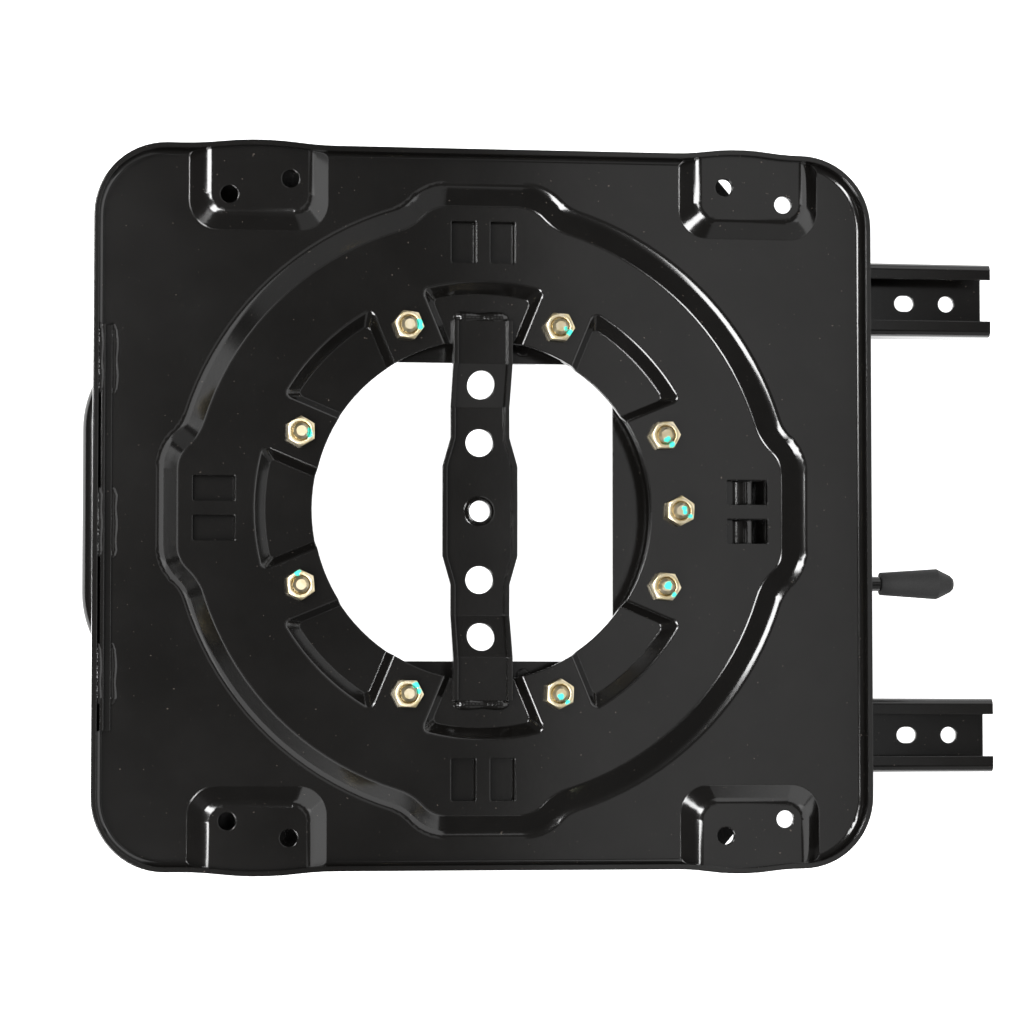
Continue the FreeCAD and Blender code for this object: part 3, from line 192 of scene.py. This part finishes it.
def stoved_black_enamel():
    """Black enamel, sprayed on pressed steel and stoved.

    It gives the eye a deep gloss whose reflections waver a little with the film, edges that the film has
    rounded, and a few specks of dust, drawn coarser than real dust so that they show.
    """
    material, tree, shader, place = blank("stoved_black_enamel")
    mottle = add(tree, "ShaderNodeTexNoise",
                 {"Vector": place, "Scale": per_metre(38), "Detail": 5.0, "Roughness": 0.62})
    clouds = add(tree, "ShaderNodeMapRange", {"Value": mottle, "From Min": 0.38, "From Max": 0.64})
    ground = add(tree, "ShaderNodeMix",
                 {"Factor_Float": clouds, "A_Color": linear("#0b0a09"), "B_Color": linear("#0f0e0d")},
                 data_type="RGBA")
    specks = add(tree, "ShaderNodeTexNoise",
                 {"Vector": place, "Scale": per_metre(1.6), "Detail": 1.0, "Roughness": 0.4})
    dust = add(tree, "ShaderNodeMapRange",
               {"Value": specks, "From Min": 0.76, "From Max": 0.82, "To Max": 0.35})
    dusted = add(tree, "ShaderNodeMix",
                 {"Factor_Float": dust, "A_Color": ground, "B_Color": linear("#6a625a")}, data_type="RGBA")
    film = add(tree, "ShaderNodeTexNoise",
               {"Vector": place, "Scale": per_metre(60), "Detail": 3.0, "Roughness": 0.5})
    gloss = add(tree, "ShaderNodeMapRange",
                {"Value": film, "From Min": 0.3, "From Max": 0.7, "To Min": 0.12, "To Max": 0.15})
    ripple = add(tree, "ShaderNodeTexNoise",
                 {"Vector": place, "Scale": per_metre(3.0), "Detail": 2.0, "Roughness": 0.5})
    round_edges = add(tree, "ShaderNodeBevel", {"Radius": 0.8 * MM}, samples=6)
    relief = add(tree, "ShaderNodeBump",
                 {"Height": ripple, "Strength": 0.25, "Distance": 0.02 * MM, "Normal": round_edges})
    wire(tree, shader, {"Base Color": dusted, "Roughness": gloss, "Normal": relief, "IOR": 1.6})
    return material


def daub_mask(tree, place):
    """A mask of the paint daubs on the ring nuts: ragged spots, tall so that they run down the sides."""
    squash = add(tree, "ShaderNodeVectorMath", {0: place, 1: (1.0, 1.0, DAUB_SQUASH)}, operation="MULTIPLY")
    nearest = None
    for angle, (_, daubs) in RING_NUTS.items():
        x, y = on_ring(angle)
        for right, up, r in daubs:
            centre = Vector((x + right, y + up, DAUB_SQUASH * DAUB_HEIGHT)) * MM
            gap = add(tree, "ShaderNodeVectorMath", {0: squash, 1: centre}, operation="DISTANCE")
            past_edge = add(tree, "ShaderNodeMath", {0: gap, 1: r * MM}, operation="SUBTRACT")
            if nearest is None:
                nearest = past_edge
            else:
                nearest = add(tree, "ShaderNodeMath", {0: nearest, 1: past_edge}, operation="MINIMUM")
    ragged = add(tree, "ShaderNodeTexNoise",
                 {"Vector": place, "Scale": per_metre(1.6), "Detail": 2.0, "Roughness": 0.6})
    wobble = add(tree, "ShaderNodeMapRange",
                 {"Value": ragged, "From Min": 0.3, "From Max": 0.7, "To Min": -0.5 * MM,
                  "To Max": 0.5 * MM})
    outline = add(tree, "ShaderNodeMath", {0: nearest, 1: wobble}, operation="ADD")
    return add(tree, "ShaderNodeMapRange",
               {"Value": outline, "From Min": -0.25 * MM, "From Max": 0.25 * MM, "To Min": 1.0,
                "To Max": 0.0})


def passivated_zinc(name, pale, tinted, marked=False):
    """Steel plated with zinc and dipped in chromate.

    It gives the eye a soft metal shine whose tint drifts over each piece, and where marked, daubs of paint.
    The plate's grain is far finer than a millimetre, and is drawn as coarse as it needs to show.
    """
    material, tree, shader, place = blank(name)
    drift = add(tree, "ShaderNodeTexNoise",
                {"Vector": place, "Scale": per_metre(4.0), "Detail": 2.0, "Roughness": 0.5})
    tint = add(tree, "ShaderNodeMapRange", {"Value": drift, "From Min": 0.35, "From Max": 0.65})
    plate = add(tree, "ShaderNodeMix",
                {"Factor_Float": tint, "A_Color": linear(pale), "B_Color": linear(tinted)},
                data_type="RGBA")
    grain = add(tree, "ShaderNodeTexNoise",
                {"Vector": place, "Scale": per_metre(0.8), "Detail": 2.0, "Roughness": 0.6})
    relief = add(tree, "ShaderNodeBump", {"Height": grain, "Strength": 0.3, "Distance": 0.02 * MM})
    if marked:
        paint = daub_mask(tree, place)
        daubed = add(tree, "ShaderNodeMix",
                     {"Factor_Float": paint, "A_Color": plate, "B_Color": linear("#3fd9bf")},
                     data_type="RGBA")
        bare = add(tree, "ShaderNodeMapRange", {"Value": paint, "To Min": 1.0, "To Max": 0.0})
        dull = add(tree, "ShaderNodeMapRange", {"Value": paint, "To Min": 0.34, "To Max": 0.45})
        wire(tree, shader, {"Base Color": daubed, "Metallic": bare, "Roughness": dull, "Normal": relief})
    else:
        wear = add(tree, "ShaderNodeTexNoise",
                   {"Vector": place, "Scale": per_metre(1.5), "Detail": 2.0, "Roughness": 0.5})
        dull = add(tree, "ShaderNodeMapRange",
                   {"Value": wear, "From Min": 0.3, "From Max": 0.7, "To Min": 0.26, "To Max": 0.42})
        wire(tree, shader, {"Base Color": plate, "Metallic": 1.0, "Roughness": dull, "Normal": relief})
    return material


def moulded_plastic(name, base, worn, grain_mm, smoothest, roughest):
    """Injection-moulded plastic: matte, with the grain of its mould.

    The real grain is about a tenth of a millimetre, and is drawn as coarse as it needs to show.
    """
    material, tree, shader, place = blank(name)
    patches = add(tree, "ShaderNodeTexNoise",
                  {"Vector": place, "Scale": per_metre(14), "Detail": 3.0, "Roughness": 0.5})
    wear = add(tree, "ShaderNodeMapRange", {"Value": patches, "From Min": 0.35, "From Max": 0.65})
    shade = add(tree, "ShaderNodeMix",
                {"Factor_Float": wear, "A_Color": linear(base), "B_Color": linear(worn)}, data_type="RGBA")
    grain = add(tree, "ShaderNodeTexNoise",
                {"Vector": place, "Scale": per_metre(grain_mm), "Detail": 2.0, "Roughness": 0.5})
    dull = add(tree, "ShaderNodeMapRange",
               {"Value": grain, "From Min": 0.3, "From Max": 0.7, "To Min": smoothest, "To Max": roughest})
    relief = add(tree, "ShaderNodeBump", {"Height": grain, "Strength": 0.5, "Distance": 0.05 * MM})
    wire(tree, shader, {"Base Color": shade, "Roughness": dull, "Normal": relief, "IOR": 1.49})
    return material


def drawn_spring_steel():
    """Drawn spring wire, oiled: dark steel with the fine marks of its die, drawn coarse enough to show."""
    material, tree, shader, place = blank("drawn_spring_steel")
    marks = add(tree, "ShaderNodeTexNoise",
                {"Vector": place, "Scale": per_metre(1.0), "Detail": 3.0, "Roughness": 0.6})
    steel = add(tree, "ShaderNodeMix",
                {"Factor_Float": marks, "A_Color": linear("#55565a"), "B_Color": linear("#7d7e82")},
                data_type="RGBA")
    dull = add(tree, "ShaderNodeMapRange",
               {"Value": marks, "From Min": 0.3, "From Max": 0.7, "To Min": 0.28, "To Max": 0.45})
    relief = add(tree, "ShaderNodeBump", {"Height": marks, "Strength": 0.3, "Distance": 0.02 * MM})
    wire(tree, shader, {"Base Color": steel, "Metallic": 1.0, "Roughness": dull, "Normal": relief})
    return material


# The finishes by material slot. Acetal is a milky, waxy white, and polypropylene a flat black.

black_enamel = stoved_black_enamel()
yellow_zinc = passivated_zinc("yellow_passivated_zinc", "#e8dcc0", "#d8c89c")
marked_zinc = passivated_zinc("yellow_passivated_zinc_with_paint_daubs", "#e8dcc0", "#d8c89c", marked=True)
clear_zinc = passivated_zinc("clear_passivated_zinc", "#c9ccd0", "#b4b8be")
glide_acetal = moulded_plastic("moulded_acetal", "#e4e1d8", "#d8d4c8", 0.8, 0.35, 0.5)
grip_polypropylene = moulded_plastic("moulded_polypropylene", "#101010", "#141414", 0.7, 0.7, 0.82)
spring_steel = drawn_spring_steel()

FINISH_OF_SLOT = {
    "black_paint": black_enamel,
    "yellow_zinc": yellow_zinc,
    "bright_zinc": clear_zinc,
    "spring_steel": spring_steel,
    "glide_plastic": glide_acetal,
    "grip_plastic": grip_polypropylene,
}


def coat_nodes():
    """Gives each piece from the frame the material of its slot."""
    slot_of = {part["node"]: part["material_slot"] for part in frame["record"]["subparts"]}
    for name, piece in nodes.items():
        for piece_slot in piece.material_slots:
            piece_slot.material = FINISH_OF_SLOT[slot_of[name]]
        if not piece.material_slots:
            piece.data.materials.append(FINISH_OF_SLOT[slot_of[name]])


# Modelling tools


def take(piece):
    """Makes one piece the only one selected and active."""
    bpy.ops.object.select_all(action="DESELECT")
    piece.select_set(True)
    bpy.context.view_layer.objects.active = piece


def apply_modifier(piece, kind, **settings):
    """Puts one modifier on a piece with its settings, and applies it."""
    take(piece)
    change = piece.modifiers.new(kind.title(), kind)
    for name, value in settings.items():
        setattr(change, name, value)
    bpy.ops.object.modifier_apply(modifier=change.name)


def shape_with(piece, tool, operation):
    """Cuts a piece by a tool, or keeps what they share, and clears the tool away."""
    apply_modifier(piece, "BOOLEAN", operation=operation, solver="EXACT", object=tool)
    bpy.data.objects.remove(tool, do_unlink=True)


def turn_on_lathe(profile, steps):
    """A closed turned form about the z axis: a disc, drawn up and resized ring by ring, in millimetres."""
    bpy.ops.object.select_all(action="DESELECT")
    r, z = profile[0]
    bpy.ops.mesh.primitive_circle_add(vertices=steps, radius=r * MM, fill_type="NGON",
                                      location=(0, 0, z * MM))
    bpy.ops.object.mode_set(mode="EDIT")
    bpy.ops.mesh.select_all(action="SELECT")
    for next_r, next_z in profile[1:]:
        bpy.ops.mesh.extrude_region_move(TRANSFORM_OT_translate={"value": (0, 0, (next_z - z) * MM)})
        size = next_r / r
        bpy.ops.transform.resize(value=(size, size, 1.0), center_override=(0, 0, next_z * MM))
        r, z = next_r, next_z
    bpy.ops.mesh.select_all(action="SELECT")
    bpy.ops.mesh.normals_make_consistent(inside=False)
    bpy.ops.object.mode_set(mode="OBJECT")
    bpy.ops.object.transform_apply(location=True, rotation=True, scale=True)
    return bpy.context.object


def hexagon(flats, z0, z1):
    """A hexagonal prism about the z axis with a corner on +Y, in millimetres."""
    bpy.ops.object.select_all(action="DESELECT")
    bpy.ops.mesh.primitive_cylinder_add(vertices=6, radius=flats / math.sqrt(3) * MM, depth=(z1 - z0) * MM,
                                        location=(0, 0, (z0 + z1) / 2 * MM))
    bpy.ops.object.transform_apply(location=True, rotation=True, scale=True)
    return bpy.context.object


def copy_to(model, x, y, turn):
    """A copy of a model with its own mesh, moved in plan and turned about z."""
    take(model)
    bpy.ops.object.duplicate(linked=False)
    made = bpy.context.object
    made.location = (x * MM, y * MM, 0.0)
    made.rotation_euler = (0.0, 0.0, math.radians(turn))
    return made


def hand_over(piece, name, material, smooth, stands_for=None):
    """Puts a finished piece's place into its mesh, and gives it its name and finish, on the turntable."""
    take(piece)
    bpy.ops.object.transform_apply(location=True, rotation=True, scale=True)
    bpy.ops.object.shade_smooth_by_angle(angle=math.radians(smooth))
    piece.name = name
    piece.data.name = name
    piece.data.materials.clear()
    piece.data.materials.append(material)
    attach(piece, "turntable")
    if stands_for:
        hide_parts(stands_for)


# Cable bar


def is_bend(edge):
    """Whether an edge runs across the cable bar at one of its bends, on the web or a lip."""
    along = (edge.verts[1].co - edge.verts[0].co).normalized()
    turn = edge.calc_face_angle(0.0)
    return abs(along.x) > 0.8 and math.radians(8) < turn < math.radians(60)


def soften_bar():
    """The cable bar, its bends drawn over a real radius and its edges rounded, in place of the plain one."""
    take(nodes["crossbar"])
    bpy.ops.object.duplicate(linked=False)
    bar = bpy.context.object
    bpy.ops.object.mode_set(mode="EDIT")
    bpy.ops.mesh.select_all(action="SELECT")
    bpy.ops.mesh.remove_doubles(threshold=0.01 * MM)
    bpy.ops.mesh.customdata_custom_splitnormals_clear()
    bpy.ops.mesh.dissolve_limited(angle_limit=math.radians(1.0))
    bpy.ops.mesh.select_all(action="DESELECT")
    bpy.ops.mesh.select_mode(type="EDGE")
    sheet = bmesh.from_edit_mesh(bar.data)
    for edge in sheet.edges:
        edge.select_set(is_bend(edge))
    bmesh.update_edit_mesh(bar.data)
    bpy.ops.mesh.bevel(offset=BAR_BEND * MM, segments=8, clamp_overlap=True)
    bpy.ops.object.mode_set(mode="OBJECT")
    apply_modifier(bar, "BEVEL", width=BAR_EDGE_R * MM, segments=3, limit_method="ANGLE",
                   angle_limit=math.radians(30))
    hand_over(bar, "cable_bar", black_enamel, 30.0, "crossbar")
    # The flats are large beside the bends, so they lead the shading
    apply_modifier(bar, "WEIGHTED_NORMAL", mode="FACE_AREA", weight=100, keep_sharp=True)


# Nuts and bolts


def model_nut():
    """A hexagon nut standing on the ring, its corners turned off and the mouths of its bore countersunk."""
    z0, z1 = RING_TOP, RING_TOP + NUT_HEIGHT
    nut = hexagon(NUT_FLATS, z0, z1)
    around = NUT_CORNER_R + 0.2
    foot, head = z0 + NUT_CORNER_TRIM, z1 - NUT_CORNER_TRIM
    trim = [(NUT_FACE_R, z0), (around, foot), (around, head), (NUT_FACE_R, z1)]
    shape_with(nut, turn_on_lathe(trim, 72), "INTERSECT")
    bore = [(NUT_FOOT_MOUTH_R, z0 - 0.2), (NUT_BORE_R, z0 + 0.7)]
    bore += [(NUT_BORE_R, z1 - 0.8), (NUT_TOP_MOUTH_R, z1 + 0.2)]
    shape_with(nut, turn_on_lathe(bore, 48), "DIFFERENCE")
    apply_modifier(nut, "BEVEL", width=NUT_EDGE_R * MM, segments=2, limit_method="ANGLE",
                   angle_limit=math.radians(20))
    return nut


def thread_end(z0, z1):
    """The profile of a thread's last turns and its chamfered tip, ridge by ridge."""
    tip = z1 - TIP_CHAMFER
    turns = int((tip - z0) / THREAD_PITCH)
    profile = []
    for turn in range(turns):
        z = tip - THREAD_PITCH * (turns - turn)
        profile += [(THREAD_R, z), (THREAD_ROOT_R, z + 0.5 * THREAD_PITCH)]
        profile += [(THREAD_ROOT_R, z + 0.62 * THREAD_PITCH)]
    return profile + [(THREAD_R, tip), (TIP_R, z1 - 0.15), (TIP_R - 0.2, z1)]


def model_bolt():
    """A low-headed bolt with a hexagon socket underneath and its thread showing at the top."""
    z0, z1 = bolts_low[2], bolts_high[2]
    r = BOLT_HEAD_R
    neck = z0 + BOLT_HEAD_HEIGHT
    head = [(r - 0.6, z0), (r - 0.15, z0 + 0.25), (r, z0 + 0.7), (r, neck), (THREAD_R, neck)]
    bolt = turn_on_lathe(head + thread_end(THREAD_SHOWN_FROM, z1), 48)
    shape_with(bolt, hexagon(BOLT_SOCKET_FLATS, z0 - 1.0, z0 + BOLT_SOCKET_DEPTH), "DIFFERENCE")
    return bolt


def make_ring_fasteners():
    """Nine bolts up through the ring, each with its nut on top."""
    nut = model_nut()
    bolt = model_bolt()
    for i, (angle, (turn, _)) in enumerate(RING_NUTS.items(), 1):
        x, y = on_ring(angle)
        hand_over(copy_to(nut, x, y, turn), f"ring_nut_{i}", marked_zinc, 25.0, "ring_nuts")
        hand_over(copy_to(bolt, x, y, BOLT_TURN * i), f"ring_bolt_{i}", marked_zinc, 25.0,
                  "ring_bolts")
    bpy.data.objects.remove(nut, do_unlink=True)
    bpy.data.objects.remove(bolt, do_unlink=True)


# Welds


def lay_weld(name, start, stop, width, height):
    """A bead of weld between two points, in millimetres: flattened drops, overlapping and run together."""
    start, stop = Vector(start), Vector(stop)
    count = max(2, round((stop - start).length / WELD_DROP_STEP))
    drops = []
    for i in range(count + 1):
        place = start.lerp(stop, i / count) * MM
        swell = 1.0 + WELD_SWELL * math.sin(0.8 * i + start.y)
        ends = WELD_END_SHRINK if i in (0, count) else 1.0
        bpy.ops.object.select_all(action="DESELECT")
        bpy.ops.mesh.primitive_uv_sphere_add(segments=20, ring_count=12, location=place,
                                             radius=width / 2 * swell * ends * MM)
        bpy.ops.object.mode_set(mode="EDIT")
        bpy.ops.mesh.select_all(action="SELECT")
        bpy.ops.transform.resize(value=(1.0, 1.0, 2 * height / width), center_override=place)
        bpy.ops.object.mode_set(mode="OBJECT")
        drops.append(bpy.context.object)
    take(drops[0])
    for drop in drops:
        drop.select_set(True)
    bpy.ops.object.join()
    bead = bpy.context.object
    bpy.ops.object.transform_apply(location=True, rotation=True, scale=True)
    apply_modifier(bead, "REMESH", mode="VOXEL", voxel_size=WELD_VOXEL * MM)
    apply_modifier(bead, "SMOOTH", factor=0.5, iterations=30)
    hand_over(bead, name, black_enamel, 80.0)


def make_welds():
    """Beads along the ends of the cable bar, in the gap behind the rim strip and at the strip's foot."""
    left, right = (SWIVEL_X + x for x in BAR_WELD_SPAN)
    for name, y in (("bar_weld_far", BAR_WELD_Y), ("bar_weld_near", -BAR_WELD_Y)):
        lay_weld(name, (left, y, BAR_WELD_Z), (right, y, BAR_WELD_Z), **BAR_WELD)
    for i, (y0, y1) in enumerate(STRIP_WELD_SPANS, 1):
        lay_weld(f"strip_gap_weld_{i}", (STRIP_GAP_X, y0, STRIP_GAP_Z), (STRIP_GAP_X, y1, STRIP_GAP_Z),
                 **STRIP_GAP_WELD)
        lay_weld(f"strip_foot_weld_{i}", (STRIP_FOOT_X, y0, PLATE_TOP), (STRIP_FOOT_X, y1, PLATE_TOP),
                 **STRIP_FOOT_WELD)


# Floor, light and camera, in metres

FLOOR_SIZE = 60.0
FLOOR_Z = -0.0005
FLOOR_GLOW = 0.95
WORLD_GLOW = 0.08

LIT_POINT = (0.0, 0.0, 0.05)
# Each lamp's azimuth and elevation in degrees, distance, width, height, and glow, where 1 shows as white
LAMPS = {
    "near_softbox": (221, 58, 2.1, 0.55, 1.35, 20.0),
    "far_softbox": (147, 58, 2.1, 0.42, 1.35, 21.0),
    "right_wall": (-2, 31, 2.3, 2.1, 2.1, 1.35),
    "right_far_wall": (50, 31, 2.3, 1.9, 2.1, 1.15),
    "right_near_wall": (-54, 31, 2.3, 1.9, 2.1, 0.35),
}
CEILING_X, CEILING_Y, CEILING_Z = 0.575, 0.15, 2.5
CEILING_WIDTH, CEILING_HEIGHT, CEILING_GLOW = 0.45, 1.3, 0.54

CAMERA_PLACE = (-0.295, -0.100, 1.856)
CAMERA_TARGET = (-0.0294, -0.0008, 0.050)
CAMERA_LENS = 131.5
CAMERA_SENSOR = 36.0


def make_floor():
    """A white table that shows pure white to the camera and still takes a soft shadow."""
    bpy.ops.mesh.primitive_plane_add(size=FLOOR_SIZE, location=(0.0, 0.0, FLOOR_Z))
    floor = bpy.context.object
    floor.name = "floor"
    material = bpy.data.materials.new("white_table")
    material.use_nodes = True
    tree = material.node_tree
    tree.nodes.remove(tree.nodes["Principled BSDF"])
    paper = add(tree, "ShaderNodeBsdfDiffuse", {"Color": linear("#f2f2f2")})
    glow = add(tree, "ShaderNodeEmission", {"Color": (1.0, 1.0, 1.0, 1.0), "Strength": FLOOR_GLOW})
    both = add(tree, "ShaderNodeAddShader", {0: paper, 1: glow})
    ray = add(tree, "ShaderNodeLightPath", {}).outputs
    seen = add(tree, "ShaderNodeMath", {0: ray["Is Camera Ray"], 1: ray["Is Glossy Ray"]},
               operation="MAXIMUM")
    seen = add(tree, "ShaderNodeMath", {0: seen, 1: ray["Is Transmission Ray"]}, operation="MAXIMUM")
    shown = add(tree, "ShaderNodeMixShader", {0: seen, 1: paper, 2: both})
    wire(tree, tree.nodes["Material Output"], {"Surface": shown})
    floor.data.materials.append(material)


def aim(thing, place, target, upward):
    """Puts a lamp or the camera somewhere, looking at a point, with one direction upward in its view."""
    place = Vector(place)
    back = (place - Vector(target)).normalized()
    right = Vector(upward).cross(back).normalized()
    up = back.cross(right)
    thing.matrix_world = Matrix.Translation(place) @ Matrix((right, up, back)).transposed().to_4x4()


def soft_panel(name, place, target, width, height, glow, upward):
    """A flat lamp of an even glow."""
    bpy.ops.object.light_add(type="AREA")
    lamp = bpy.context.object
    lamp.name = name
    lamp.data.shape = "RECTANGLE"
    lamp.data.size = width
    lamp.data.size_y = height
    lamp.data.energy = glow * math.pi * width * height
    aim(lamp, place, target, upward)


def polar_place(azimuth, elevation, distance):
    """A place at an azimuth from +X, an elevation and a distance about the origin."""
    a, e = math.radians(azimuth), math.radians(elevation)
    across = distance * math.cos(e)
    return across * math.cos(a), across * math.sin(a), distance * math.sin(e)


def light_room():
    """Two softboxes high on the left, wide dim walls on the right, a dim ceiling and a dim room."""
    for name, (azimuth, elevation, distance, width, height, glow) in LAMPS.items():
        place = polar_place(azimuth, elevation, distance)
        soft_panel(name, place, LIT_POINT, width, height, glow, (0, 0, 1))
    soft_panel("ceiling_panel", (CEILING_X, CEILING_Y, CEILING_Z), (CEILING_X, CEILING_Y, 0.0),
               CEILING_WIDTH, CEILING_HEIGHT, CEILING_GLOW, (0, 1, 0))
    world = bpy.data.worlds.new("dim_room")
    bpy.context.scene.world = world
    world.use_nodes = True
    wire(world.node_tree, world.node_tree.nodes["Background"],
         {"Color": (1.0, 1.0, 1.0, 1.0), "Strength": WORLD_GLOW})


def place_camera():
    """The photograph's view: from above, nearly square on, with a long lens."""
    bpy.ops.object.camera_add()
    camera = bpy.context.object
    camera.data.sensor_width = CAMERA_SENSOR
    camera.data.lens = CAMERA_LENS
    camera.data.clip_start = 0.05
    camera.data.clip_end = 50.0
    aim(camera, CAMERA_PLACE, CAMERA_TARGET, (0, 1, 0))
    bpy.context.scene.camera = camera


bpy.ops.object.select_all(action="DESELECT")
coat_nodes()
soften_bar()
make_ring_fasteners()
make_welds()
make_floor()
light_room()
place_camera()
bpy.context.scene.view_settings.view_transform = "Standard"
